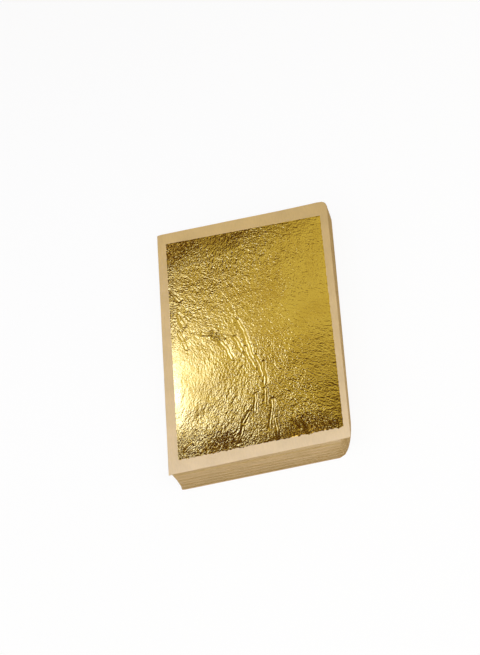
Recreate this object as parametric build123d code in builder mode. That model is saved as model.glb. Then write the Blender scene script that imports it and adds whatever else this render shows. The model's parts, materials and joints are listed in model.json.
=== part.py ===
from build123d import *
import math
import os

os.makedirs("parts", exist_ok=True)

# A gold leaf booklet: a thick pad of tan papers, each with a crinkled gold leaf
# laid on it, held along its left long edge by a thin film of padding glue.
# X runs from the glued spine to the open fore edge, Y from the near end to the
# far end, and Z up from the underside of the back card. Sizes in millimetres.

# Gold leaves, each laid a little askew on its paper
gold_width = 81
gold_length = 128
gold_thick = 0.01
gold_askew = 0.4

# Papers, each with a bare margin on the four sides of its gold leaf
spine_margin = 4.9
fore_margin = 3.1
near_margin = 6.65
far_margin = 7.35
paper_width = spine_margin + gold_width + fore_margin
paper_length = near_margin + gold_length + far_margin
paper_thick = 0.12
# Room between two papers, in which a gold leaf lies
leaf_room = 0.03

# Pieces in the pad: sections, and the papers in one section
section_count = 14
papers_per_section = 7

# Stiff card under the papers
card_thick = 0.6

# Film of padding glue on the spine edge of each section
glue_thick = 0.3

# How far the spine edge and the fore edge are drawn in, at the top and at the foot,
# where the fore edge is drawn in further at its near end
spine_top_inset = 0.25
spine_foot_inset = 2.1
fore_top_inset = 0
near_fore_foot_inset = 1.7
far_fore_foot_inset = 0.9

# Corner radii of the papers, worn round towards the foot
near_spine_top_radius = 0.3
near_spine_foot_radius = 2.4
near_fore_top_radius = 1.4
near_fore_foot_radius = 10
far_fore_top_radius = 0.8
far_fore_foot_radius = 1.2
far_spine_top_radius = 0.3
far_spine_foot_radius = 2.4
# The top page has its far corner bent and worn by handling
top_page_far_fore_radius = 4

# How soon below the top each change comes: 1 is even, more is sooner
spine_haste = 2
fore_haste = 1
spine_corner_haste = 6
fore_corner_haste = 2

# Heights
leaf_pitch = paper_thick + leaf_room
section_height = papers_per_section * leaf_pitch
sections_top = card_thick + section_count * section_height
second_page_base = sections_top
top_page_base = second_page_base + leaf_pitch
leaves_height = top_page_base + leaf_pitch - card_thick
gold_lift = paper_thick + (leaf_room - gold_thick) / 2


def eased(top_value, foot_value, share, haste):
    """A size that goes from its top value to its foot value down the pad."""
    return foot_value + (top_value - foot_value) * (1 - share) ** haste


def depth_share(base):
    """How far down the pad a paper lies: 0 for the top page, 1 for the foot."""
    return (top_page_base - base) / leaves_height


def spine_x(base):
    """Where the spine side of a page or section stands."""
    inset = eased(spine_top_inset, spine_foot_inset, depth_share(base), spine_haste)
    return inset - paper_width / 2


def fore_x(base):
    """Where the fore edge of a paper stands, at its near end and at its far end."""
    share = depth_share(base)
    near_inset = eased(fore_top_inset, near_fore_foot_inset, share, fore_haste)
    far_inset = eased(fore_top_inset, far_fore_foot_inset, share, fore_haste)
    return paper_width / 2 - near_inset, paper_width / 2 - far_inset


def corner_radii(base):
    """Radii of a paper's corners: near spine, near fore, far fore, far spine."""
    share = depth_share(base)
    return [
        eased(near_spine_top_radius, near_spine_foot_radius, share, spine_corner_haste),
        eased(near_fore_top_radius, near_fore_foot_radius, share, fore_corner_haste),
        eased(far_fore_top_radius, far_fore_foot_radius, share, fore_corner_haste),
        eased(far_spine_top_radius, far_spine_foot_radius, share, spine_corner_haste),
    ]


def flat_sheet(base, thick, left, rights, radii):
    """Add one flat sheet with rounded corners to the piece being made. The fore edge runs
    between the two places in rights, the near one first."""
    near_right, far_right = rights
    near = -paper_length / 2
    far = paper_length / 2
    with BuildSketch(Plane.XY.offset(base)) as outline:
        with BuildLine():
            FilletPolyline(
                (left, near), (near_right, near), (far_right, far), (left, far),
                radius=radii, close=True,
            )
        make_face()
    extrude(outline.sketch, amount=thick)


def gold_sheet(paper_base):
    """Add one gold leaf, lying on the paper whose underside is at paper_base."""
    middle = ((spine_margin - fore_margin) / 2, (near_margin - far_margin) / 2)
    with BuildSketch(Plane.XY.offset(paper_base + gold_lift)) as outline:
        with Locations(middle):
            Rectangle(gold_width, gold_length, rotation=gold_askew)
    extrude(outline.sketch, amount=gold_thick)


# Back card, the stiff sheet that the pad rests on, with corners like the lowest paper's
with BuildPart() as back_card:
    card_radii = corner_radii(card_thick)
    flat_sheet(0, card_thick, spine_x(card_thick), fore_x(card_thick), card_radii)
back_card.part.label = "back_card"
export_step(back_card.part, "parts/back_card.step")

# Sections, from the back card up: papers, their gold leaves and the glue on the spine
for number in range(section_count):
    name = f"section_{number + 1:02d}"
    base = card_thick + number * section_height
    spine = spine_x(base)
    paper_bases = [base + place * leaf_pitch for place in range(papers_per_section)]

    with BuildPart() as papers:
        for paper_base in paper_bases:
            left = spine + glue_thick
            flat_sheet(paper_base, paper_thick, left, fore_x(paper_base), corner_radii(paper_base))
    papers.part.label = f"{name}_papers"
    export_step(papers.part, f"parts/{name}_papers.step")

    with BuildPart() as gold_leaves:
        for paper_base in paper_bases:
            gold_sheet(paper_base)
    gold_leaves.part.label = f"{name}_gold_leaves"
    export_step(gold_leaves.part, f"parts/{name}_gold_leaves.step")

    # The glue stops where the rounded corners of the lowest paper begin
    near_spine, near_fore, far_fore, far_spine = corner_radii(base)
    glue_near = near_spine - paper_length / 2
    glue_far = paper_length / 2 - far_spine
    with BuildPart() as spine_glue:
        with BuildSketch(Plane.XY.offset(base)):
            with Locations((spine, (glue_near + glue_far) / 2)):
                Rectangle(glue_thick, glue_far - glue_near, align=(Align.MIN, Align.CENTER))
        extrude(amount=section_height - leaf_room)
    spine_glue.part.label = f"{name}_spine_glue"
    export_step(spine_glue.part, f"parts/{name}_spine_glue.step")

# The two topmost pages, which turn one by one, each with its gold leaf
second_left = spine_x(second_page_base)
second_rights = fore_x(second_page_base)
with BuildPart() as second_page:
    flat_sheet(
        second_page_base, paper_thick, second_left, second_rights, corner_radii(second_page_base)
    )
second_page.part.label = "second_page"
export_step(second_page.part, "parts/second_page.step")

with BuildPart() as second_gold_leaf:
    gold_sheet(second_page_base)
second_gold_leaf.part.label = "second_gold_leaf"
export_step(second_gold_leaf.part, "parts/second_gold_leaf.step")

# The top page laps over the spine by the inset of the pages below it
near_spine, near_fore, far_fore, far_spine = corner_radii(top_page_base)
with BuildPart() as top_page:
    flat_sheet(
        top_page_base, paper_thick, -paper_width / 2, fore_x(top_page_base),
        [near_spine, near_fore, top_page_far_fore_radius, far_spine],
    )
top_page.part.label = "top_page"
export_step(top_page.part, "parts/top_page.step")

with BuildPart() as top_gold_leaf:
    gold_sheet(top_page_base)
top_gold_leaf.part.label = "top_gold_leaf"
export_step(top_gold_leaf.part, "parts/top_gold_leaf.step")

# Turning lines, each along the outer foot of the spine of what turns on it
papers_in_all = section_count * papers_per_section + 2
print("papers:", papers_in_all, "height:", round(top_page_base + leaf_pitch, 3))
print("turning lines, as X and Z:")
for number in range(section_count):
    base = card_thick + number * section_height
    print(f"section_{number + 1:02d}", round(spine_x(base), 4), round(base, 4))
print("second_page", round(second_left, 4), round(second_page_base, 4))
print("top_page", round(-paper_width / 2, 4), round(top_page_base, 4))
opening = math.degrees(math.asin(top_page_base / paper_width))
print("top page reaches the table at", round(180 + opening, 1), "degrees")
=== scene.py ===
import json
import math

import bpy
import numpy
from mathutils import Matrix, Vector

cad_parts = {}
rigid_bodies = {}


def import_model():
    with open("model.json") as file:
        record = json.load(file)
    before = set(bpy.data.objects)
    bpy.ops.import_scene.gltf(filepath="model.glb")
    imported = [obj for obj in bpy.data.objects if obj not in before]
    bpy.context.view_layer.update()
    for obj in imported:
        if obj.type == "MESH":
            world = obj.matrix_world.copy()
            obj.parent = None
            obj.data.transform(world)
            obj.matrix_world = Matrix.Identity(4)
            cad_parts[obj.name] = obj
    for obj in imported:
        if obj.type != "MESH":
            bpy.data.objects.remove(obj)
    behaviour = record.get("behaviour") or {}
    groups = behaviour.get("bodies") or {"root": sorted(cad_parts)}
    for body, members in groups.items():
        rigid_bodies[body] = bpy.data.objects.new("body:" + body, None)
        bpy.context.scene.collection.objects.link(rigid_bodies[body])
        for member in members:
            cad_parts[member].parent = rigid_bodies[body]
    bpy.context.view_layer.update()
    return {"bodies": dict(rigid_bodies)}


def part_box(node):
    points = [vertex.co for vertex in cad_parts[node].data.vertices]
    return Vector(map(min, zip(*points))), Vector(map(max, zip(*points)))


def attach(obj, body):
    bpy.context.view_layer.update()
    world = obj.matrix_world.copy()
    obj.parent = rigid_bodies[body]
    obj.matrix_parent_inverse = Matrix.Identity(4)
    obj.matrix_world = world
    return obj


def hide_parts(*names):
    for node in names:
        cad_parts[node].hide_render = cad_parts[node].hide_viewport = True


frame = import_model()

# A gold leaf booklet: a thick pad of tan papers with a crinkled gold leaf on each, held
# along its left long edge by a film of padding glue. Lengths are in metres, in the frame
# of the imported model: X from the glued spine to the open fore edge, Y from the near end
# to the far end, and Z up from the underside of the back card.

mm = 0.001

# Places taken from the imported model
page_low, page_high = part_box("top_page")
second_low, second_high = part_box("second_page")
card_low, card_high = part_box("back_card")
pad_length = page_high.y - page_low.y
pad_top = page_high.z
foot_height = card_high.z
sections = sorted(name for name in frame["bodies"] if name.startswith("section_"))
papers_per_section = 7
paper_thick = page_high.z - page_low.z
leaf_pitch = page_low.z - second_low.z

# Corner radii of the papers, at the top of the pad and at its foot, and how soon below
# the top they change: near spine, near fore, far fore and far spine
corner_top_radii = [0.3 * mm, 4.4 * mm, 3.4 * mm, 0.3 * mm]
corner_foot_radii = [1.1 * mm, 6.5 * mm, 1.2 * mm, 2.4 * mm]
corner_hastes = [6, 1.5, 1.3, 6]
# Below the top page the near fore corner is worn further back along the fore edge: how
# many times as long as it is wide
near_fore_stretch = 3
top_page_near_fore_radius = 0.9 * mm
top_page_far_fore_radius = 4 * mm
# How far the lowest paper's corners stand from a true one, in the same order: a little out
# at the near spine corner, and in at the near fore corner
foot_skew = [
    Vector((-0.2 * mm, -0.7 * mm)), Vector((-0.8 * mm, 0)), Vector((0, 0)), Vector((0, 0)),
]

# The top page is cut a little out of square: how far each corner stands from a true one,
# in the same order as the radii
page_skew = [
    Vector((-0.1 * mm, -0.8 * mm)), Vector((0.4 * mm, 0.4 * mm)),
    Vector((0, -0.5 * mm)), Vector((0.1 * mm, 0.9 * mm)),
]
# It droops over the spine, where the papers below are drawn in
droop_width = 3.2 * mm
droop_depth = 0.45 * mm

# The corners of the top gold leaf, from the middle of the pad, in the same order
leaf_corners = [
    Vector((-39.4 * mm, -64.5 * mm)), Vector((42.0 * mm, -64.3 * mm)),
    Vector((40.7 * mm, 62.4 * mm)), Vector((-39.9 * mm, 65.3 * mm)),
]
leaf_thick = 0.006 * mm
leaf_lift = 0.004 * mm
leaf_columns = 222
leaf_rows = 352

# The leaves below it: columns and rows of the second page's, of each section's topmost one,
# which shows when the pad is opened there, and of those that never show
second_leaf_grid = (140, 220)
shown_leaf_grid = (70, 110)
hidden_leaf_grid = (12, 22)
pressed_lift = 0.001 * mm
pressed_thick = 0.004 * mm
# How far the near fore corner of the lowest leaf is drawn in, where its paper is worn
worn_corner_shift = Vector((-3.2 * mm, 1.6 * mm))

# Long creases in the top gold leaf, as points from the middle of the pad, in mm
crease_routes = [
    [(-5.2, 9.3), (-3.4, 5.2), (-1.5, -3.3), (0.3, -11.3), (1.8, -15.2)],
    [(2.2, -13.7), (4.2, -19.4), (5.3, -23.6), (5.4, -26.3)],
    [(5.6, -18.5), (6.3, -23.4), (6.1, -31.2)],
    [(5.9, -33.8), (6.3, -37.8), (5.6, -42.7)],
    [(8.9, -40.7), (9.0, -45.5), (7.9, -49.9), (7.2, -56.9)],
    [(9.7, -52.0), (10.2, -56.9), (10.7, -61.8), (10.6, -64.5)],
    [(-2.1, -7.5), (-1.4, -11.7), (0.4, -16.1), (2.4, -20.5)],
    [(-14.4, -1.3), (-11.9, -5.2), (-11.0, -8.5), (-9.8, -11.3), (-8.9, -13.0)],
    [(-7.2, -0.7), (-4.7, -6.1), (-3.9, -9.5)],
    [(-39.7, 36.0), (-36.7, 32.3), (-34.1, 28.4)],
    [(-35.2, 20.0), (-34.0, 16.1), (-32.4, 12.8)],
    [(-35.3, 9.5), (-33.8, 4.6), (-31.6, -1.0)],
    [(-23.4, 5.7), (-20.8, 4.3), (-18.0, 4.8)],
    [(-18.2, 1.6), (-15.7, 2.2), (-13.1, 0.8)],
    [(-5.6, -50.8), (-4.3, -47.8), (-3.0, -45.4)],
    [(-9.1, -61.7), (-7.2, -57.6), (-6.1, -53.3)],
    [(1.2, -35.6), (0.9, -41.0), (0.1, -46.4)],
    [(-35.9, -60.8), (-32.6, -58.0)],
    [(18.9, -54.3), (20.9, -60.4)],
    [(21.5, -55.0), (25.1, -63.5)],
]

# How its wrinkles run: a place from the middle of the pad in mm, their direction there in
# degrees from X, and how strong they are
wrinkle_marks = [
    (-35, 58, 50, 2.0), (-22, 58, 45, 1.8), (-25, 41, -50, 1.0), (-24, 24, -50, 0.9),
    (-36, 30, -50, 0.8), (-33, 8, -70, 0.7), (-38, -12, -80, 0.2), (-38, -32, 80, 0.2),
    (-20, 5, -25, 0.85), (-8, 45, -75, 1.5), (-5, 15, -55, 1.0), (6, -10, -85, 1.0),
    (10, 60, -20, 1.7), (25, 50, -25, 1.1), (36, 56, -15, 0.9), (25, 28, -40, 1.0),
    (36, 30, -30, 0.8), (30, 8, -20, 0.5), (17, 2, -60, 0.8), (19, -22, -55, 1.0),
    (33, -22, -35, 0.65), (38, -45, -30, 0.95), (26, -54, -68, 1.6), (20, -42, -60, 1.2),
    (8, -50, -88, 1.4), (-12, -50, 60, 0.9), (-30, -58, 40, 1.4), (-31, -38, 70, 0.4),
    (-28, -20, 80, 0.3), (-13, -20, 75, 0.75), (-28, -4, -70, 0.6),
]

# Where it dips softly towards its rim: the middle, radius and depth of each dip, in mm
soft_dips = [
    (-40, 69, 20, 1.45), (-10, 69, 18, 0.6), (26, -68, 18, 0.75), (-15, -67, 16, 0.75),
]

# Camera, fitted to the corners of the top page in the photograph
lens_length = 135
camera_azimuth = math.radians(17.81)
camera_elevation = math.radians(52.75)
camera_roll = math.radians(-26.14)
camera_distance = 1205.86 * mm
camera_target = Vector((-4.49 * mm, 4.66 * mm, pad_top))


def linear(code):
    """An sRGB hex colour as a linear RGBA value."""
    levels = [int(code[place:place + 2], 16) / 255 for place in (1, 3, 5)]
    return [v / 12.92 if v <= 0.04045 else ((v + 0.055) / 1.055) ** 2.4 for v in levels] + [1]


def add(tree, kind, inputs=(), operation=None, **settings):
    """Add one node, with its operation and settings. Its inputs are a list, in the order of
    those in use, or are given by name. A socket, or a node's first output, is linked to its
    input, and anything else is set as the input's value."""
    node = tree.nodes.new(kind)
    if operation:
        node.operation = operation
    for name, value in settings.items():
        setattr(node, name, value)
    sockets = [socket for socket in node.inputs if socket.enabled]
    if isinstance(inputs, dict):
        sockets = [next(one for one in sockets if one.name == name) for name in inputs]
        inputs = inputs.values()
    for socket, value in zip(sockets, inputs):
        if isinstance(value, bpy.types.Node):
            value = next(one for one in value.outputs if one.enabled)
        if isinstance(value, bpy.types.NodeSocket):
            tree.links.new(value, socket)
        else:
            socket.default_value = value
    return node


def maths(tree, operation, *values):
    """Work out one number from others."""
    return add(tree, "ShaderNodeMath", values, operation)


def vector_maths(tree, operation, *values):
    """Work out one vector or number from vectors and numbers."""
    return add(tree, "ShaderNodeVectorMath", values, operation)


def noise_at(tree, place, scale, detail):
    """A noise read at a place."""
    return add(tree, "ShaderNodeTexNoise", {"Vector": place, "Scale": scale, "Detail": detail})


def remap(tree, value, start, end, low=0, high=1, smooth=False):
    """Turn a value into low up to start, high from end on, and what lies between them."""
    return add(tree, "ShaderNodeMapRange", {
        "Value": value, "From Min": start, "From Max": end, "To Min": low, "To Max": high,
    }, interpolation_type="SMOOTHSTEP" if smooth else "LINEAR")


def mix(tree, share, first, second):
    """The first colour at a share of 0, and the second at 1."""
    return add(tree, "ShaderNodeMix", {
        "Factor": share, "A": first, "B": second,
    }, data_type="RGBA")


def bumped(tree, height, distance, strength):
    """A surface normal that follows a height, where 1 stands for this distance."""
    return add(tree, "ShaderNodeBump", {
        "Strength": strength, "Distance": distance, "Height": height,
    })


def shifted(tree, geometry, offset):
    """The geometry with its points moved by this offset."""
    return add(tree, "GeometryNodeSetPosition", {"Geometry": geometry, "Offset": offset})


def geometry_tree(name, inputs):
    """A Geometry Nodes tree with one geometry in and out, and these named inputs."""
    tree = bpy.data.node_groups.new(name, "GeometryNodeTree")
    for way in ("INPUT", "OUTPUT"):
        tree.interface.new_socket("Geometry", in_out=way, socket_type="NodeSocketGeometry")
    for label, kind in inputs.items():
        tree.interface.new_socket(label, in_out="INPUT", socket_type=kind)
    return tree, tree.nodes.new("NodeGroupInput").outputs


def settle(piece):
    """Turn what a piece's modifiers make into its plain mesh, and remove them."""
    graph = bpy.context.evaluated_depsgraph_get()
    graph.update()
    mesh = bpy.data.meshes.new_from_object(piece.evaluated_get(graph))
    piece.modifiers.clear()
    piece.data = mesh


def shaped(blank, tree, values):
    """Run a tree on a blank with these inputs and keep what it makes as a plain mesh."""
    modifier = blank.modifiers.new(tree.name, "NODES")
    modifier.node_group = tree
    for socket in tree.interface.items_tree:
        if socket.name in values:
            modifier[socket.identifier] = values[socket.name]
    settle(blank)
    return blank


def new_object(name, data):
    """An object in the scene that shows this data."""
    made = bpy.data.objects.new(name, data)
    bpy.context.scene.collection.objects.link(made)
    return made


def mesh_object(name, points, faces):
    """An object at the origin with this mesh."""
    mesh = bpy.data.meshes.new(name)
    mesh.from_pydata(points, [], faces)
    return new_object(name, mesh)


def point_attribute(mesh, name, kind, values):
    """Store one value for each point of a mesh, under a name that its nodes read."""
    attribute = mesh.attributes.new(name, kind, "POINT")
    if kind == "FLOAT_VECTOR":
        attribute.data.foreach_set("vector", [part for value in values for part in value])
    else:
        attribute.data.foreach_set("value", values)


# Outlines of the papers

def eased(top_value, foot_value, share, haste):
    """A size that goes from its top value to its foot value down the pad."""
    return foot_value + (top_value - foot_value) * (1 - share) ** haste


def depth_share(height):
    """How far down the pad a height is: 0 for the top page, 1 for the foot."""
    share = (page_low.z - height) / (pad_top + leaf_pitch - paper_thick - foot_height)
    return min(max(share, 0), 1)


def corner_radii(height):
    """Radii of a paper's corners at this height, in the order of corner_top_radii."""
    share = depth_share(height)
    return [
        eased(top, foot, share, haste)
        for top, foot, haste in zip(corner_top_radii, corner_foot_radii, corner_hastes)
    ]


def corner_number(u, v):
    """Which corner a point of the unit square is nearest to."""
    return (3 if u < 0 else 2) if v > 0 else (0 if u < 0 else 1)


def outline_point(u, v, left, right, radii, skew, stretch):
    """Where a point on the edge of the unit square stands on a sheet's rounded outline."""
    middle = (left + right) / 2
    half_x = (right - left) / 2
    half_y = pad_length / 2
    corner = corner_number(u, v)
    wide = radii[corner]
    long = wide * (stretch if corner == 1 else 1)
    x, y = u * half_x, v * half_y
    over_x = (abs(x) - half_x) / wide + 1
    over_y = (abs(y) - half_y) / long + 1
    if over_x > 0 and over_y > 0:
        reach = 1 / math.hypot(over_x, over_y)
        x = math.copysign(half_x - wide + wide * over_x * reach, x)
        y = math.copysign(half_y - long + long * over_y * reach, y)
    shares = [(1 - u) * (1 - v), (1 + u) * (1 - v), (1 + u) * (1 + v), (1 - u) * (1 + v)]
    moved = sum((place * share / 4 for place, share in zip(skew, shares)), Vector((0, 0)))
    return Vector((middle + x, y)) + moved


def skew_at(height):
    """How far a paper's corners stand from true ones at this height."""
    return [corner * depth_share(height) for corner in foot_skew]


def sheet_points(columns, rows, left, right, radii, skew, stretch=near_fore_stretch):
    """The points of one sheet, row by row, in rings that follow its outline."""
    points = []
    for v in edge_steps(rows):
        for u in edge_steps(columns):
            ring = max(abs(u), abs(v))
            middle = Vector(((left + right) / 2, 0))
            edge = middle
            if ring:
                edge = outline_point(u / ring, v / ring, left, right, radii, skew, stretch)
            points.append(middle + (edge - middle) * ring)
    return points


def edge_steps(count):
    """Steps from -1 to 1 that come closer together towards both ends."""
    return [math.sin(math.pi * (step / count - 0.5)) for step in range(count + 1)]


def ring_shares(columns, rows):
    """How near each point of a sheet is to its outline: 1 on it, 0 in the middle."""
    return [max(abs(u), abs(v)) for v in edge_steps(rows) for u in edge_steps(columns)]


def edge_ring(columns, rows):
    """The numbers of the points along a grid's edge, counter-clockwise from above."""
    across = columns + 1
    last = across * rows
    return (
        list(range(columns))
        + [columns + row * across for row in range(rows)]
        + [last + columns - step for step in range(columns)]
        + [last - row * across for row in range(rows)]
    )


def grid_faces(columns, rows):
    """The faces of a grid of points, counter-clockwise from above."""
    across = columns + 1
    return [
        (near + step, near + step + 1, near + across + step + 1, near + across + step)
        for near in range(0, across * rows, across)
        for step in range(columns)
    ]


def closed_sheet(name, columns, rows, low, high):
    """A closed thin sheet between two grids of points, which run counter-clockwise as seen
    from the side of the high one."""
    count = len(low)
    faces = grid_faces(columns, rows)
    upper = [tuple(number + count for number in face) for face in faces]
    lower = [tuple(reversed(face)) for face in faces]
    ring = edge_ring(columns, rows)
    sides = [(a, b, b + count, a + count) for a, b in zip(ring, ring[1:] + ring[:1])]
    return mesh_object(name, low + high, upper + lower + sides)


def flat(point):
    """The rise of a sheet that lies flat."""
    return 0


def slab(name, columns, rows, points, base, thick, rise=flat):
    """A closed sheet of one thickness on a grid of points, which rises by rule above its base."""
    low = [(point.x, point.y, base + rise(point)) for point in points]
    return closed_sheet(name, columns, rows, low, [(x, y, z + thick) for x, y, z in low])


# Geometry trees

# The slow waves in which papers and leaves lie: their lengths along X, Y and Z, their height
# at the top of the pad, the noise value that lies level, and how far from the spine they
# begin and are full
wave_lengths = (62 * mm, 48 * mm, 16 * mm)
wave_height = 0.55 * mm
wave_level = 0.62
waves_begin = page_low.x + 3 * mm
waves_full = page_low.x + 34 * mm

# How the papers' edges waver: over what lengths along X, Y and Z, and how deep
waver_lengths = (9 * mm, 9 * mm, 0.32 * mm)
waver_depth = 0.24 * mm
# A face is a cut edge where its normal leans less than this towards Z
edge_lean = 0.6

# The relief of a leaf, in mm: the width, length and sharpness of its drawn wrinkles and of
# its fine crumple, the length of its slow swells and the length of the tears in its edges
wrinkle_strokes = (3, 9, 0.3)
crumple_strokes = (1.7, 3.6, 0.34)
swell_length = 24
tear_length = 1.3

# A crease's half width, how far it strays from its route, and over what length in mm
crease_half_width = 0.85 * mm
crease_stray = 1.6 * mm
crease_stray_length = 4
# Beside a crease only this share of the wrinkles is left, out to where they are full again
calm_share = 0.25
calm_within = 0.5 * mm
calm_until = 1.6 * mm


def lie_tree():
    """The slow waves in which papers and leaves alike lie, none at the foot or the spine."""
    tree, given = geometry_tree("lie_of_the_pad", {})
    place = add(tree, "GeometryNodeInputPosition")
    per_wave = [1 / length for length in wave_lengths]
    scaled = vector_maths(tree, "MULTIPLY", place, per_wave)
    wave = noise_at(tree, scaled, 1, 1.5)
    parts = add(tree, "ShaderNodeSeparateXYZ", [place]).outputs
    height = remap(tree, parts["Z"], foot_height, pad_top, 0, wave_height)
    open_share = remap(tree, parts["X"], waves_begin, waves_full, smooth=True)
    depth = maths(tree, "MULTIPLY", height, open_share)
    centred = maths(tree, "SUBTRACT", wave, wave_level)
    rise = maths(tree, "MULTIPLY", centred, depth)
    offset = add(tree, "ShaderNodeCombineXYZ", {"Z": rise})
    moved = shifted(tree, given["Geometry"], offset)
    add(tree, "NodeGroupOutput", [moved])
    return tree


def noise_about_zero(tree, place, scale, detail):
    """A noise vector whose parts run from about -0.5 to 0.5."""
    noise = noise_at(tree, place, scale, detail)
    half = (0.5, 0.5, 0.5)
    return vector_maths(tree, "SUBTRACT", noise.outputs["Color"], half)


def stored_values(tree, kinds):
    """What is stored for each point under these names, as one node for each."""
    return [
        add(tree, "GeometryNodeInputNamedAttribute", {"Name": name}, data_type=kind)
        for name, kind in kinds.items()
    ]


def stack_tree(lie):
    """Papers laid one on the other, each a little off its neighbour and uneven at its edge."""
    tree, given = geometry_tree("paper_stack", {
        "Papers": "NodeSocketInt", "Pitch": "NodeSocketFloat", "Stray": "NodeSocketFloat",
        "Seed": "NodeSocketInt", "Paper": "NodeSocketMaterial", "Cut edge": "NodeSocketMaterial",
    })
    step = add(tree, "ShaderNodeCombineXYZ", {"Z": given["Pitch"]})
    line = add(tree, "GeometryNodeMeshLine", {"Count": given["Papers"], "Offset": step})
    number = add(tree, "GeometryNodeInputIndex")
    spare = maths(tree, "SUBTRACT", given["Papers"], 1)
    most = maths(tree, "MAXIMUM", spare, 1)
    climbed = maths(tree, "DIVIDE", number, most)
    depth = maths(tree, "SUBTRACT", 1, climbed)
    tint = add(tree, "FunctionNodeRandomValue", {"Seed": given["Seed"]}, data_type="FLOAT")
    for name, value in (("foot_share", depth), ("paper_tint", tint)):
        line = add(tree, "GeometryNodeStoreNamedAttribute", {
            "Geometry": line, "Name": name, "Value": value,
        })
    stray = add(tree, "FunctionNodeRandomValue", {
        "Min": (-1, -1, 0), "Max": (1, 1, 0), "Seed": given["Seed"],
    }, data_type="FLOAT_VECTOR")
    strayed = vector_maths(tree, "SCALE", stray, given["Stray"])
    laid = shifted(tree, line, strayed)
    copies = add(tree, "GeometryNodeInstanceOnPoints", {
        "Points": laid, "Instance": given["Geometry"],
    })
    real = add(tree, "GeometryNodeRealizeInstances", [copies])

    # Each paper takes the outline of its own height
    foot_shift, foot_share, edge_share = stored_values(tree, {
        "foot_shift": "FLOAT_VECTOR", "foot_share": "FLOAT", "edge_share": "FLOAT",
    })
    shift = vector_maths(tree, "SCALE", foot_shift, foot_share)
    fitted = shifted(tree, real, shift)

    # Its edge wavers by a few hundredths of a millimetre
    place = add(tree, "GeometryNodeInputPosition")
    per_waver = [1 / length for length in waver_lengths]
    scaled = vector_maths(tree, "MULTIPLY", place, per_waver)
    waver = noise_about_zero(tree, scaled, 1, 2)
    depths = (waver_depth, waver_depth, 0)
    sized = vector_maths(tree, "MULTIPLY", waver, depths)
    faded = vector_maths(tree, "SCALE", sized, edge_share)
    wavered = shifted(tree, fitted, faded)
    lying = add(tree, "GeometryNodeGroup", [wavered], node_tree=lie)

    papered = add(tree, "GeometryNodeSetMaterial", {"Geometry": lying, "Material": given["Paper"]})
    normal = add(tree, "GeometryNodeInputNormal")
    upward = add(tree, "ShaderNodeSeparateXYZ", [normal]).outputs["Z"]
    lean = maths(tree, "ABSOLUTE", upward)
    upright = maths(tree, "LESS_THAN", lean, edge_lean)
    edged = add(tree, "GeometryNodeSetMaterial", {
        "Geometry": papered, "Selection": upright, "Material": given["Cut edge"],
    })
    add(tree, "NodeGroupOutput", [edged])
    return tree


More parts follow.
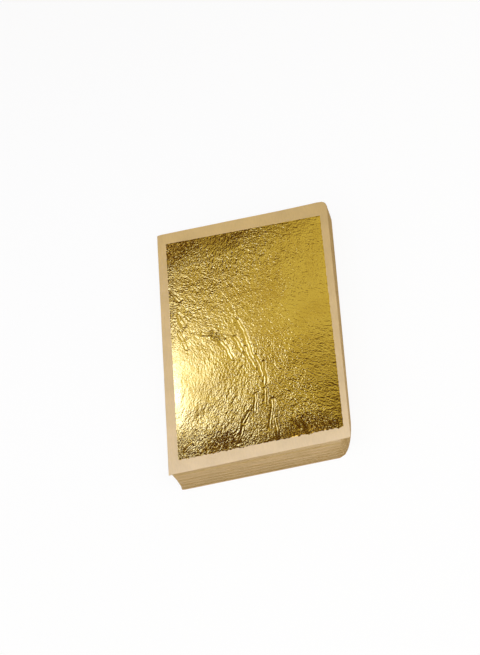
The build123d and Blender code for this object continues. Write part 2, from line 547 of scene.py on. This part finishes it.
def leaf_tree(lie):
    """A beaten metal leaf laid on paper: slow swells, drawn wrinkles, fine crumple, creases."""
    tree, given = geometry_tree("crinkled_leaf", {
        "Creases": "NodeSocketObject", "Crease height": "NodeSocketFloat",
        "Swell height": "NodeSocketFloat", "Wrinkle height": "NodeSocketFloat",
        "Crumple height": "NodeSocketFloat", "Ragged": "NodeSocketFloat",
        "Seed": "NodeSocketFloat", "Gold": "NodeSocketMaterial",
    })
    flow, raised_share, tear_share = stored_values(tree, {
        "wrinkle_flow": "FLOAT_VECTOR", "raised_share": "FLOAT", "tear_share": "FLOAT_VECTOR",
    })
    place = add(tree, "GeometryNodeInputPosition")
    seeded = add(tree, "ShaderNodeCombineXYZ", {"Z": given["Seed"]})
    level = vector_maths(tree, "MULTIPLY", place, (1 / mm, 1 / mm, 0))
    spot = vector_maths(tree, "ADD", level, seeded)
    wrinkle = strokes(tree, spot, flow, *wrinkle_strokes)
    crumple = strokes(tree, spot, flow, *crumple_strokes)
    swell = noise_at(tree, spot, 1 / swell_length, 1)

    # Creases stand highest along their routes and fade in less than a millimetre
    routes = add(tree, "GeometryNodeObjectInfo", {"Object": given["Creases"]})
    lines = add(tree, "GeometryNodeCurveToMesh", {"Curve": routes.outputs["Geometry"]})
    stray = noise_about_zero(tree, spot, 1 / crease_stray_length, 1)
    strayed = vector_maths(tree, "SCALE", stray, crease_stray)
    beside = vector_maths(tree, "ADD", place, strayed)
    grounded = vector_maths(tree, "MULTIPLY", beside, (1, 1, 0))
    nearest = add(tree, "GeometryNodeProximity", {
        "Geometry": lines, "Sample Position": grounded,
    }, target_element="EDGES").outputs["Distance"]
    crease = remap(tree, nearest, 0, crease_half_width, 1, 0)

    # Wrinkles and crumple are calmer beside them, and the material reads how strong they are
    calm = remap(tree, nearest, calm_within, calm_until, calm_share, 1)
    marked = add(tree, "ShaderNodeSeparateXYZ", [flow]).outputs["Z"]
    strength = maths(tree, "MULTIPLY", marked, calm)
    told = add(tree, "GeometryNodeStoreNamedAttribute", {
        "Geometry": given["Geometry"], "Name": "wrinkle_strength", "Value": strength,
    })
    rise = 0
    for relief, size in ((wrinkle, "Wrinkle height"), (crumple, "Crumple height")):
        rise = maths(tree, "MULTIPLY_ADD", relief, given[size], rise)
    rise = maths(tree, "MULTIPLY", rise, strength)
    for relief, size in ((swell, "Swell height"), (crease, "Crease height")):
        rise = maths(tree, "MULTIPLY_ADD", relief, given[size], rise)
    rise = maths(tree, "MULTIPLY", rise, raised_share)

    # The edges are torn a little unevenly
    tear = noise_about_zero(tree, spot, 1 / tear_length, 4)
    torn_here = vector_maths(tree, "MULTIPLY", tear, tear_share)
    ragged = vector_maths(tree, "SCALE", torn_here, given["Ragged"])
    lifted = add(tree, "ShaderNodeCombineXYZ", {"Z": rise})
    offset = vector_maths(tree, "ADD", ragged, lifted)
    moved = shifted(tree, told, offset)
    lying = add(tree, "GeometryNodeGroup", [moved], node_tree=lie)
    smooth = add(tree, "GeometryNodeSetShadeSmooth", {"Geometry": lying})
    real = add(tree, "GeometryNodeRealizeInstances", [smooth])
    golden = add(tree, "GeometryNodeSetMaterial", {"Geometry": real, "Material": given["Gold"]})
    add(tree, "NodeGroupOutput", [golden])
    return tree


def strokes(tree, spot, flow, width, length, sharp):
    """Short ridges drawn out along the flow: near 1 on a crest and 0 beside it. Patterns that
    each have their own direction are mixed by how near the flow is to that direction. The
    spot and the sizes are in mm, and the flow is the cosine and sine of twice its angle."""
    directions = 6
    # Each pattern is read this far from the last in the noise, so that no two are alike
    apart = 7.3
    # The higher this power, the fewer patterns share one spot
    choosiness = 3
    depth = add(tree, "ShaderNodeSeparateXYZ", [spot]).outputs["Z"]
    total = 0
    for step in range(directions):
        angle = math.radians(180 / directions * step)
        cosine, sine = math.cos(angle), math.sin(angle)
        ways = ((cosine / length, sine / length, 0), (-sine / width, cosine / width, 0))
        along, across = (vector_maths(tree, "DOT_PRODUCT", spot, way) for way in ways)
        layer = maths(tree, "ADD", depth, apart * step)
        drawn = add(tree, "ShaderNodeCombineXYZ", [along, across, layer])
        noise = noise_at(tree, drawn, 1, 1.5)
        doubled = (math.cos(2 * angle), math.sin(2 * angle), 0)
        near = vector_maths(tree, "DOT_PRODUCT", flow, doubled)
        kept = maths(tree, "MAXIMUM", near, 0)
        weight = maths(tree, "POWER", kept, choosiness)
        ridges = ridged(tree, noise, sharp)
        total = maths(tree, "MULTIPLY_ADD", ridges, weight, total)
    return total


def ridged(tree, noise, sharp):
    """Turn a noise into ridges: 1 along its middle values, and 0 this far from them."""
    centred = maths(tree, "SUBTRACT", noise, 0.5)
    spread = maths(tree, "ABSOLUTE", centred)
    return remap(tree, spread, 0, sharp, 1, 0)


# Materials

def new_material(name):
    """A material with an empty node tree, and that tree."""
    material = bpy.data.materials.new(name)
    material.use_nodes = True
    material.node_tree.nodes.clear()
    return material, material.node_tree


def object_place(tree):
    """Where a material is read, on the piece's own Object coordinates."""
    return add(tree, "ShaderNodeTexCoord").outputs["Object"]


def two_tone(tree, value, low, high, first, second):
    """Two colours mixed by a value: the first up to low, and the second from high on."""
    return mix(tree, remap(tree, value, low, high), linear(first), linear(second))


def finished(material, looks):
    """Give a material its surface with these inputs, and return it."""
    surface = add(material.node_tree, "ShaderNodeBsdfPrincipled", looks)
    add(material.node_tree, "ShaderNodeOutputMaterial", {"Surface": surface})
    return material


def tan_tissue():
    """Tan tissue paper, calendered: matt, with soft cloudy tone and short pressed fibres. Painted
    shade makes it browner towards the far end, and darkest at the open far corner."""
    cloud_size = 14 * mm
    fibre_width, fibre_length = 0.35 * mm, 2.2 * mm
    # How far the fibres turn from the paper's length, in radians
    fibre_turn = 0.5
    fibre_height = 0.03 * mm
    material, tree = new_material("tan_tissue_paper")
    place = object_place(tree)
    cloud = noise_at(tree, place, 1 / cloud_size, 3)
    fibre_place = add(tree, "ShaderNodeMapping", {
        "Vector": place, "Rotation": (0, 0, fibre_turn),
        "Scale": (1 / fibre_width, 1 / fibre_length, 1 / mm),
    })
    fibre = noise_at(tree, fibre_place, 1, 4)
    along = add(tree, "ShaderNodeSeparateXYZ", [place]).outputs
    # Painted shade: the paper turns browner and darker towards the far end, where it is lit less
    far_shade_share = remap(tree, along["Y"], -pad_length / 2, pad_length / 2)
    soon = maths(tree, "POWER", far_shade_share, 0.6)
    toned = two_tone(tree, soon, 0, 1, "#E2CBA7", "#D2B377")
    # Painted shade: up to a tenth darker towards the far fore corner
    fore_share = remap(tree, along["X"], 0, page_high.x, smooth=True)
    far_fore_shade = maths(tree, "MULTIPLY", fore_share, far_shade_share)
    shade = remap(tree, far_fore_shade, 0, 1, 1, 0.9)
    for noise, darkest, lightest in ((cloud, 0.93, 1.05), (fibre, 0.95, 1.04)):
        mottled = remap(tree, noise, 0.3, 0.7, darkest, lightest)
        shade = maths(tree, "MULTIPLY", shade, mottled)
    colour = vector_maths(tree, "SCALE", toned, shade)
    bump = bumped(tree, fibre, fibre_height, 0.35)
    return finished(material, {"Base Color": colour, "Roughness": 0.82, "Normal": bump})


def cut_edges():
    """Guillotined paper edges: darker than the sheet, in fine streaks that run with it, each
    paper with its own tint. They are browner at the foot of the near end."""
    # How long and how high the coarse and the fine streaks are
    streak_sizes = ((26 * mm, 1.1 * mm), (9 * mm, 0.4 * mm))
    # The foot's brown fades between these heights, and over this length from the near end
    foot_line, foot_fade = 1.5 * mm, 22 * mm
    near_fade = 14 * mm
    material, tree = new_material("guillotined_paper_edges")
    place = object_place(tree)
    streaks = []
    for run, rise in streak_sizes:
        scaled = add(tree, "ShaderNodeMapping", {
            "Vector": place, "Scale": (1 / run, 1 / run, 1 / rise),
        })
        streaks.append(noise_at(tree, scaled, 1, 2))
    mixed = maths(tree, "ADD", *streaks)
    tint = add(tree, "ShaderNodeAttribute", attribute_name="paper_tint").outputs["Fac"]
    tinted = maths(tree, "MULTIPLY_ADD", tint, 0.25, mixed)
    colours = two_tone(tree, tinted, 0.8, 1.45, "#9C7F47", "#C8AB70")
    parts = add(tree, "ShaderNodeSeparateXYZ", [place]).outputs
    low = remap(tree, parts["Z"], foot_line, foot_fade, 1, 0)
    near = remap(tree, parts["Y"], page_low.y, page_low.y + near_fade, 1, 0.1)
    foot = maths(tree, "MULTIPLY", low, near)
    browned = mix(tree, foot, colours, linear("#8A6C26"))
    return finished(material, {
        "Base Color": browned, "Roughness": 0.9, "Specular IOR Level": 0.3,
    })


def beaten_leaf():
    """Beaten brass leaf, bright and thin: a warm mirror, broken by wrinkles too fine to model,
    which are drawn as coarse as they need to show."""
    # Width, length and sharpness of the wrinkles, and the size of the grain, in mm
    drawn_strokes = (1.8, 4.2, 0.34)
    fine_strokes = (1, 2.2, 0.3)
    grain_size = 0.9
    dent_size = 11 * mm
    patch_size = 16 * mm
    # How much the finer strokes, the grain and the dents each count in the height
    fine_share, grain_share, dent_share = 0.45, 1.2, 2.6
    # What a height of 1 stands for, in mm
    bump_unit = 0.08
    # A leaf under the pad's top is read in another layer of the noise for each step of Z
    layers_per_mm = 0.4
    material, tree = new_material("beaten_brass_leaf")
    place = object_place(tree)
    scales = (1 / mm, 1 / mm, layers_per_mm / mm)
    spot = vector_maths(tree, "MULTIPLY", place, scales)
    flow = add(tree, "ShaderNodeAttribute", attribute_name="wrinkle_flow").outputs["Vector"]
    strength = add(tree, "ShaderNodeAttribute", attribute_name="wrinkle_strength").outputs["Fac"]
    drawn = strokes(tree, spot, flow, *drawn_strokes)
    fine = strokes(tree, spot, flow, *fine_strokes)
    grain = noise_at(tree, spot, 1 / grain_size, 1)
    dent = noise_at(tree, place, 1 / dent_size, 1.5)
    stroked = maths(tree, "MULTIPLY_ADD", fine, fine_share, drawn)
    grained = maths(tree, "MULTIPLY_ADD", grain, grain_share, stroked)
    wrinkled = maths(tree, "MULTIPLY", grained, strength)
    height = maths(tree, "MULTIPLY_ADD", dent, dent_share, wrinkled)
    ground = vector_maths(tree, "MULTIPLY", spot, (1, 1, 0))
    for x, y, radius, depth in soft_dips:
        away = vector_maths(tree, "DISTANCE", ground, (x, y, 0))
        dip = remap(tree, away, 0, radius, -depth / bump_unit, 0, smooth=True)
        height = maths(tree, "ADD", height, dip)
    bump = bumped(tree, height, bump_unit * mm, 1)
    patch = noise_at(tree, place, 1 / patch_size, 3)
    colour = two_tone(tree, patch, 0.35, 0.7, "#F1CB5E", "#E9C052")
    rough = remap(tree, patch, 0.3, 0.7, 0.13, 0.2)
    return finished(material, {
        "Base Color": colour, "Metallic": 1, "Roughness": rough, "Normal": bump,
    })


def padding_glue():
    """White padding glue, brushed on and dried: a satin skin with the papers showing through."""
    # How far a brush mark reaches along X, Y and Z, and how deep it is
    brush_sizes = (3 * mm, 12 * mm, 0.5 * mm)
    brush_depth = 0.05 * mm
    material, tree = new_material("brushed_padding_glue")
    scaled = add(tree, "ShaderNodeMapping", {
        "Vector": object_place(tree), "Scale": [1 / size for size in brush_sizes],
    })
    brushed = noise_at(tree, scaled, 1, 4)
    colour = two_tone(tree, brushed, 0.35, 0.68, "#D8C196", "#E9DCC0")
    bump = bumped(tree, brushed, brush_depth, 0.6)
    return finished(material, {"Base Color": colour, "Roughness": 0.42, "Normal": bump})


def chipboard():
    """Unbleached chipboard: browner than the papers, flecked, with a rough cut edge."""
    fleck_size = 0.9 * mm
    fleck_depth = 0.04 * mm
    cloud_size = 20 * mm
    material, tree = new_material("unbleached_chipboard")
    place = object_place(tree)
    fleck, cloud = (
        noise_at(tree, place, 1 / size, detail)
        for size, detail in ((fleck_size, 5), (cloud_size, 2))
    )
    both = maths(tree, "ADD", fleck, cloud)
    colour = two_tone(tree, both, 0.75, 1.3, "#9C7440", "#BE9760")
    bump = bumped(tree, fleck, fleck_depth, 0.5)
    return finished(material, {"Base Color": colour, "Roughness": 0.88, "Normal": bump})


# Papers

sheet_columns = 20
sheet_rows = 32
# How far a paper strays from its place in its stack
paper_stray = 0.11 * mm
# The higher this power, the nearer to its edge a paper's wavering begins
edge_power = 10


def paper_blank(name, left, right, height, top, foot, rise=flat):
    """One paper at its top outline, with the shift that takes it to its foot outline. Each
    outline is given as its radii and its skew, the foot's with where its fore edge stands."""
    foot_right, *foot_outline = foot
    points = sheet_points(sheet_columns, sheet_rows, left, right, *top)
    foot_points = sheet_points(sheet_columns, sheet_rows, left, foot_right, *foot_outline)
    shifts = [(low.x - high.x, low.y - high.y, 0) for high, low in zip(points, foot_points)]
    blank = slab(name, sheet_columns, sheet_rows, points, height, paper_thick, rise)
    point_attribute(blank.data, "foot_shift", "FLOAT_VECTOR", shifts * 2)
    shares = [share ** edge_power for share in ring_shares(sheet_columns, sheet_rows)]
    point_attribute(blank.data, "edge_share", "FLOAT", shares * 2)
    return blank


def droop(point):
    """How far the top page hangs down at a point, over the drawn-in spine."""
    share = max(0, 1 - (point.x - page_low.x) / droop_width)
    return -droop_depth * share ** 2


def finish_piece(piece, body, node):
    """Make a piece move with its body and stand for its node."""
    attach(piece, body)
    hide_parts(node)


def make_papers(tree, paper, cut_edge):
    """The papers of every section, the second page and the top page."""
    below_right = card_high.x
    for number, body in enumerate(sections):
        node = f"{body}_papers"
        low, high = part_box(node)
        top_height = high.z - paper_thick
        blank = paper_blank(
            f"{body}_paper_stack", low.x, high.x, low.z,
            (corner_radii(top_height), skew_at(top_height)),
            (below_right, corner_radii(low.z), skew_at(low.z)),
        )
        below_right = high.x
        shaped(blank, tree, {
            "Papers": papers_per_section, "Pitch": leaf_pitch, "Stray": paper_stray,
            "Seed": number, "Paper": paper, "Cut edge": cut_edge,
        })
        finish_piece(blank, body, node)
    outline = (corner_radii(second_low.z), skew_at(second_low.z))
    second = paper_blank(
        "second_page_sheet", second_low.x, second_high.x, second_low.z,
        outline, (second_high.x, *outline),
    )
    radii = corner_radii(page_low.z)
    radii[1:3] = top_page_near_fore_radius, top_page_far_fore_radius
    # The top page's corners are round, as wide as they are long
    outline = (radii, page_skew, 1)
    top = paper_blank(
        "top_page_sheet", page_low.x, page_high.x, page_low.z,
        outline, (page_high.x, *outline), droop,
    )
    for blank, body in ((second, "second_page"), (top, "top_page")):
        shaped(blank, tree, {
            "Papers": 1, "Pitch": leaf_pitch, "Stray": 0.0, "Seed": 40,
            "Paper": paper, "Cut edge": cut_edge,
        })
        finish_piece(blank, body, body)


# Gold leaves

# Rows of the coarser grid on a leaf's underside
under_rows = 22
# A leaf is held down at its rim, where this share of its relief is left, and has all of it
# this many cells of its grid further in
held_share = 0.06
held_cells = 9
# Tears go this many cells in from its sides, where they are this share as deep, and from its
# near end. The far end is cut clean.
side_tear_cells = 3
side_tear_share = 0.35
end_tear_cells = 4
# A wrinkle mark rules within the square root of this from it, in mm, and less beyond
mark_reach = 30


def leaf_blank(name, corners, columns, rows, base, thick, turn=1):
    """A flat leaf between four corners: a fine grid above, and below it the coarser grid,
    whose number of rows must divide the leaf's. Its wrinkles run as marked, or from the far
    corner if turn is -1."""
    stride = rows // under_rows
    across = columns + 1
    points, raised, tears = [], [], []
    for row in range(rows + 1):
        for column in range(across):
            u, v = column / columns, row / rows
            shares = [(1 - u) * (1 - v), u * (1 - v), u * v, (1 - u) * v]
            place = sum((corner * share for corner, share in zip(corners, shares)), Vector((0, 0)))
            points.append((place.x, place.y, base + thick))
            inward = min(u, 1 - u, v, 1 - v) * min(columns, rows)
            raised.append(min(1, held_share + inward / held_cells))
            side_tear = max(0, 1 - min(u, 1 - u) * columns / side_tear_cells)
            end_tear = max(0, 1 - v * rows / end_tear_cells)
            tears.append((side_tear_share * side_tear, end_tear, 0))
    upper_count = len(points)
    under = {}
    for number in range(upper_count):
        row, column = divmod(number, across)
        if row % stride == 0 or column in (0, columns):
            under[number] = upper_count + len(under)
    lower = []
    for row in range(0, rows, stride):
        near, far = row * across, (row + stride) * across
        for column in range(columns):
            face = [near + column, near + column + 1, far + column + 1, far + column]
            if column == 0:
                face += [near + step * across for step in range(stride - 1, 0, -1)]
            if column == columns - 1:
                face[2:2] = [near + columns + step * across for step in range(1, stride)]
            lower.append(tuple(under[number] for number in reversed(face)))
    ring = edge_ring(columns, rows)
    sides = [(under[a], under[b], b, a) for a, b in zip(ring, ring[1:] + ring[:1])]
    points += [(points[number][0], points[number][1], base) for number in under]
    blank = mesh_object(name, points, grid_faces(columns, rows) + lower + sides)
    raised += [0.0] * len(under)
    tears += [tears[number] for number in under]
    point_attribute(blank.data, "raised_share", "FLOAT", raised)
    point_attribute(blank.data, "tear_share", "FLOAT_VECTOR", tears)
    point_attribute(blank.data, "wrinkle_flow", "FLOAT_VECTOR", wrinkle_flow(points, turn))
    rim = set(ring) | {under[number] for number in ring}
    for edge in blank.data.edges:
        edge.use_edge_sharp = rim.issuperset(edge.vertices)
    return blank


def wrinkle_flow(points, turn):
    """How the wrinkles run at these points: the cosine and sine of twice their angle, and
    how strong they are."""
    places = numpy.array(points)[:, :2] * turn / mm
    marks = numpy.array(wrinkle_marks)
    away = ((places[:, None] - marks[None, :, :2]) ** 2).sum(axis=2)
    weights = 1 / (mark_reach + away) ** 2
    double = numpy.radians(2 * marks[:, 2])
    flow = weights @ numpy.column_stack((numpy.cos(double), numpy.sin(double), marks[:, 3]))
    lengths = numpy.hypot(flow[:, 0], flow[:, 1])
    return (flow / numpy.column_stack((lengths, lengths, weights.sum(axis=1)))).tolist()


def crease_curves():
    """The creases as smooth curves, each led by its given points."""
    data = bpy.data.curves.new("crease_routes", "CURVE")
    data.dimensions = "3D"
    for route in crease_routes:
        spline = data.splines.new("NURBS")
        spline.points.add(len(route) - 1)
        for point, (x, y) in zip(spline.points, route):
            point.co = (x * mm, y * mm, 0, 1)
        spline.order_u = 3
        spline.use_endpoint_u = True
    return new_object("crease_routes", data)


def box_corners(low, high):
    """The four corners of a box, near spine first, counter-clockwise."""
    return [
        Vector((low.x, low.y)), Vector((high.x, low.y)),
        Vector((high.x, high.y)), Vector((low.x, high.y)),
    ]


def join_into(target, others):
    """Join meshes into one piece."""
    with bpy.context.temp_override(
        active_object=target, selected_editable_objects=[target, *others],
    ):
        bpy.ops.object.join()
    return target


def make_gold(tree, gold):
    """The top leaf at full detail, the leaf under it, and the leaves of every section."""
    creases = crease_curves()
    top = leaf_blank(
        "top_gold_leaf_sheet", leaf_corners, leaf_columns, leaf_rows,
        pad_top + leaf_lift, leaf_thick,
    )
    shaped(top, tree, {
        "Creases": creases, "Crease height": 0.18 * mm, "Swell height": 0.1 * mm,
        "Wrinkle height": 0.06 * mm, "Crumple height": 0.03 * mm,
        "Ragged": 2.6 * mm, "Seed": 3.0, "Gold": gold,
    })
    finish_piece(top, "top_gold_leaf", "top_gold_leaf")

    # The other leaves are pressed nearly flat between their papers
    pressed = {
        "Creases": creases, "Crease height": 0.0, "Swell height": 0.0,
        "Wrinkle height": 0.012 * mm, "Crumple height": 0.009 * mm,
        "Ragged": 1.2 * mm, "Gold": gold,
    }
    low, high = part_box("second_gold_leaf")
    second = leaf_blank(
        "second_gold_leaf_sheet", box_corners(low, high), *second_leaf_grid,
        second_high.z + pressed_lift, pressed_thick, -1,
    )
    shaped(second, tree, {**pressed, "Seed": 17.0})
    finish_piece(second, "second_page", "second_gold_leaf")

    for number, body in enumerate(sections):
        node = f"{body}_gold_leaves"
        low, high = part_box(node)
        paper_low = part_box(f"{body}_papers")[0]
        corners = box_corners(low, high)
        corners[1] += worn_corner_shift * depth_share(paper_low.z)
        leaves = []
        for place in range(papers_per_section):
            shown = place == papers_per_section - 1
            leaf = leaf_blank(
                f"{body}_leaf_{place + 1}", corners,
                *(shown_leaf_grid if shown else hidden_leaf_grid),
                paper_low.z + paper_thick + place * leaf_pitch + pressed_lift,
                pressed_thick, -1 if number % 2 else 1,
            )
            seed = 20.0 + number * papers_per_section + place
            leaves.append(shaped(leaf, tree, {**pressed, "Seed": seed}))
        pile = join_into(leaves[0], leaves[1:])
        pile.name = f"{body}_leaf_pile"
        finish_piece(pile, body, node)
    bpy.data.objects.remove(creases)


# Glue and card

glue_columns = 90
glue_rows = 4
# The uneven outer face: how long and high its hollows are, and how deep at most
glue_swell_length = 7 * mm
glue_swell_height = 0.9 * mm
glue_hollow_depth = 0.22 * mm
# How far apart two sections' films are read in the noise
glue_seed_step = 0.37

card_columns = 22
card_rows = 30
card_edge_softness = 0.12 * mm


def glue_tree():
    """A brushed film of glue along one section's spine, thicker and thinner by turns."""
    tree, given = geometry_tree("glue_film", {
        "Seed": "NodeSocketFloat", "Glue": "NodeSocketMaterial",
    })
    outer, = stored_values(tree, {"outer_share": "FLOAT"})
    place = add(tree, "GeometryNodeInputPosition")
    per_swell = (0, 1 / glue_swell_length, 1 / glue_swell_height)
    scaled = vector_maths(tree, "MULTIPLY", place, per_swell)
    seeded = add(tree, "ShaderNodeCombineXYZ", {"X": given["Seed"]})
    spot = vector_maths(tree, "ADD", scaled, seeded)
    noise = noise_at(tree, spot, 1, 3)
    inward = maths(tree, "MULTIPLY", noise, glue_hollow_depth)
    here = maths(tree, "MULTIPLY", inward, outer)
    offset = add(tree, "ShaderNodeCombineXYZ", {"X": here})
    moved = shifted(tree, given["Geometry"], offset)
    real = add(tree, "GeometryNodeRealizeInstances", [moved])
    glued = add(tree, "GeometryNodeSetMaterial", {"Geometry": real, "Material": given["Glue"]})
    add(tree, "NodeGroupOutput", [glued])
    return tree


def make_glue(tree, glue):
    """The glue film of every section, a closed strip whose outer face is uneven."""
    for number, body in enumerate(sections):
        node = f"{body}_spine_glue"
        low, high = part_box(node)
        outer = [
            (
                low.x,
                low.y + (high.y - low.y) * column / glue_columns,
                high.z + (low.z - high.z) * (glue_rows - row) / glue_rows,
            )
            for row in range(glue_rows + 1) for column in range(glue_columns + 1)
        ]
        inner = [(high.x, y, z) for x, y, z in outer]
        film = closed_sheet(f"{body}_glue_film", glue_columns, glue_rows, outer, inner)
        count = len(outer)
        point_attribute(film.data, "outer_share", "FLOAT", [1.0] * count + [0.0] * count)
        shaped(film, tree, {"Seed": number * glue_seed_step, "Glue": glue})
        finish_piece(film, body, node)


def make_card(card):
    """The back card, its cut edge softened by a small bevel."""
    radii = corner_radii(card_high.z)
    points = sheet_points(card_columns, card_rows, card_low.x, card_high.x, radii, foot_skew)
    thick = card_high.z - card_low.z
    piece = slab("back_card_board", card_columns, card_rows, points, card_low.z, thick)
    bevel = piece.modifiers.new("softened_edge", "BEVEL")
    bevel.width = card_edge_softness
    bevel.segments = 2
    bevel.limit_method = "ANGLE"
    settle(piece)
    piece.data.materials.clear()
    piece.data.materials.append(card)
    finish_piece(piece, "back", "back_card")


# Studio

# Half the side of the floor, far past the camera's view
floor_half = 4

# The softbox, high over the near right: its middle, its width and height, and its radiance
softbox_middle = Vector((0.24, -0.42, 0.8))
softbox_width = 0.6
softbox_height = 0.5
softbox_radiance = 2.2

# The wall that the leaf mirrors, seen from the pad along the mirrored line of sight
wall_distance = 350 * mm
wall_half_width = 260 * mm
wall_half_height = 200 * mm
# Ovals of light and dark on it, each with its middle from the wall's middle and its radii,
# in mm: the lit part, the dark ones and the window with its turn in degrees
lit_oval = ((30, -5), (190, 120))
dark_ovals = [((-6, 106), (130, 86)), ((-30, -106), (128, 102))]
window_oval = ((-73, 12), (76, 47))
window_turn = -22
# The colours of its light, linear: dark and lit parts, the tint that the dark ovals add, the
# soft light round the window and the window's own
wall_dark = (0.05, 0.022, 0.01, 1)
wall_lit = (0.66, 0.67, 0.47, 1)
dark_tint = (1, 0.72, 0.45, 1)
window_halo = (1.6, 1.75, 2.0)
window_pane = (0.6, 1.8, 15.0)
# How much of the light is left in the middle of a dark oval, and how far out that middle goes
dark_kept = 0.02
dark_core = 0.42
# The higher this power, the smaller the bright middle of the window
pane_power = 4


def placed(centre, across, upward, outward):
    """The matrix that puts a thing at a centre, with its own X, Y and Z along these ways."""
    return Matrix.Translation(centre) @ Matrix((across, upward, outward)).transposed().to_4x4()


def level_panel(name, half_width, half_height):
    """A level rectangle about the origin."""
    across, up = half_width, half_height
    corners = [(-across, -up, 0), (across, -up, 0), (across, up, 0), (-across, up, 0)]
    return mesh_object(name, corners, [(0, 1, 2, 3)])


def make_floor():
    """A white sweep of floor: it keeps a soft shadow, and is white to the camera."""
    floor = level_panel("floor", floor_half, floor_half)
    material, tree = new_material("white_floor")
    path = add(tree, "ShaderNodeLightPath").outputs
    seen = 0
    for way in ("Camera", "Glossy", "Transmission"):
        seen = maths(tree, "MAXIMUM", path[f"Is {way} Ray"], seen)
    share = maths(tree, "MULTIPLY", seen, 0.9)
    matt = add(tree, "ShaderNodeBsdfDiffuse", {"Color": linear("#F7F7F7")})
    white = add(tree, "ShaderNodeEmission", {"Color": linear("#FFFFFF"), "Strength": 1})
    mixed = add(tree, "ShaderNodeMixShader", [share, matt, white])
    add(tree, "ShaderNodeOutputMaterial", {"Surface": mixed})
    floor.data.materials.append(material)


def make_world():
    """A pale room, white round the horizon. Higher up it is brighter on the near side, and
    dimmer and warmer on the far side, which the leaf mirrors when seen from in front."""
    near_light = (1.15, 1.15, 1.15, 1)
    far_light = (0.42, 0.33, 0.2, 1)
    world = bpy.data.worlds.new("pale_room")
    bpy.context.scene.world = world
    world.use_nodes = True
    tree = world.node_tree
    tree.nodes.clear()
    way = add(tree, "ShaderNodeTexCoord").outputs["Generated"]
    parts = add(tree, "ShaderNodeSeparateXYZ", [way]).outputs
    # How far up and to the far side a way looks: 0 up to its first value, 1 from its second on
    high, far = (
        remap(tree, parts[axis], start, end, smooth=True)
        for axis, start, end in (("Z", 0.14, 0.34), ("Y", -0.1, 0.3))
    )
    sides = mix(tree, far, near_light, far_light)
    room = mix(tree, high, linear("#FFFFFF"), sides)
    light = add(tree, "ShaderNodeBackground", {"Color": room, "Strength": 1})
    add(tree, "ShaderNodeOutputWorld", {"Surface": light})


def facing(centre):
    """The level and the upward way across the line from the pad to a centre, and its own."""
    way = (centre - camera_target).normalized()
    level = way.cross(Vector((0, 0, 1))).normalized()
    return level, level.cross(way), way


def make_softbox():
    """A soft panel of light that faces the pad and isn't in the camera's own view."""
    data = bpy.data.lights.new("softbox", "AREA")
    data.shape = "RECTANGLE"
    data.size = softbox_width
    data.size_y = softbox_height
    data.energy = softbox_radiance * softbox_width * softbox_height * math.pi
    lamp = new_object("softbox", data)
    level, upward, way = facing(softbox_middle)
    lamp.matrix_world = placed(softbox_middle, level, -upward, way)
    lamp.visible_camera = False


def make_camera():
    """The camera of the photograph. Returns the way that it looks."""
    ahead = Vector((
        -math.sin(camera_azimuth) * math.cos(camera_elevation),
        math.cos(camera_azimuth) * math.cos(camera_elevation),
        -math.sin(camera_elevation),
    ))
    level = ahead.cross(Vector((0, 0, 1))).normalized()
    upward = level.cross(ahead)
    right = level * math.cos(camera_roll) + upward * math.sin(camera_roll)
    top = upward * math.cos(camera_roll) - level * math.sin(camera_roll)
    data = bpy.data.cameras.new("camera")
    data.lens = lens_length
    data.clip_start = 0.05
    camera = new_object("camera", data)
    eye = camera_target - ahead * camera_distance
    camera.matrix_world = placed(eye, right, top, -ahead)
    bpy.context.scene.camera = camera
    return ahead


def pool(tree, place, centre, radii, turn=0, core=0.1):
    """An oval pool of light on the mirrored wall, in mm: 1 out to this share of its radii,
    and 0 at its rim."""
    laid = vector_maths(tree, "SUBTRACT", place, (*centre, 0))
    turned = add(tree, "ShaderNodeVectorRotate", {
        "Vector": laid, "Angle": math.radians(-turn),
    }, rotation_type="Z_AXIS")
    per_radius = (1 / radii[0], 1 / radii[1], 0)
    scaled = vector_maths(tree, "MULTIPLY", turned, per_radius)
    away = vector_maths(tree, "LENGTH", scaled)
    return remap(tree, away, core, 1, 1, 0, smooth=True)


def make_wall(ahead):
    """The wall that the leaf mirrors: warm and dim, with a cool bright window at its left."""
    mirrored = Vector((ahead.x, ahead.y, -ahead.z))
    centre = camera_target + mirrored * wall_distance
    level, upward, way = facing(centre)
    wall = level_panel("mirrored_wall", wall_half_width, wall_half_height)
    wall.matrix_world = placed(centre, level, upward, -way)
    material, tree = new_material("warm_wall_with_a_window")
    place = vector_maths(tree, "SCALE", object_place(tree), 1 / mm)
    lit = remap(tree, pool(tree, place, *lit_oval), 0, 0.35)
    for oval in dark_ovals:
        shade = pool(tree, place, *oval, core=dark_core)
        kept = remap(tree, shade, 0, 1, 1, dark_kept)
        lit = maths(tree, "MULTIPLY", lit, kept)
    plain, tint = (
        mix(tree, lit, dark, bright)
        for dark, bright in ((wall_dark, wall_lit), (dark_tint, linear("#FFFFFF")))
    )
    warm = vector_maths(tree, "MULTIPLY", plain, tint)
    window = pool(tree, place, *window_oval, window_turn)
    pane = maths(tree, "POWER", window, pane_power)
    halo = vector_maths(tree, "SCALE", window_halo, window)
    cool = vector_maths(tree, "SCALE", window_pane, pane)
    daylight = vector_maths(tree, "ADD", halo, cool)
    both = vector_maths(tree, "ADD", warm, daylight)
    light = add(tree, "ShaderNodeEmission", {"Color": both, "Strength": 1})
    add(tree, "ShaderNodeOutputMaterial", {"Surface": light})
    wall.data.materials.append(material)
    wall.visible_camera = False


scene = bpy.context.scene
scene.view_settings.view_transform = "Standard"

lie = lie_tree()
paper = tan_tissue()
cut_edge = cut_edges()
gold = beaten_leaf()
make_papers(stack_tree(lie), paper, cut_edge)
make_gold(leaf_tree(lie), gold)
make_glue(glue_tree(), padding_glue())
make_card(chipboard())
make_floor()
make_world()
make_wall(make_camera())
make_softbox()
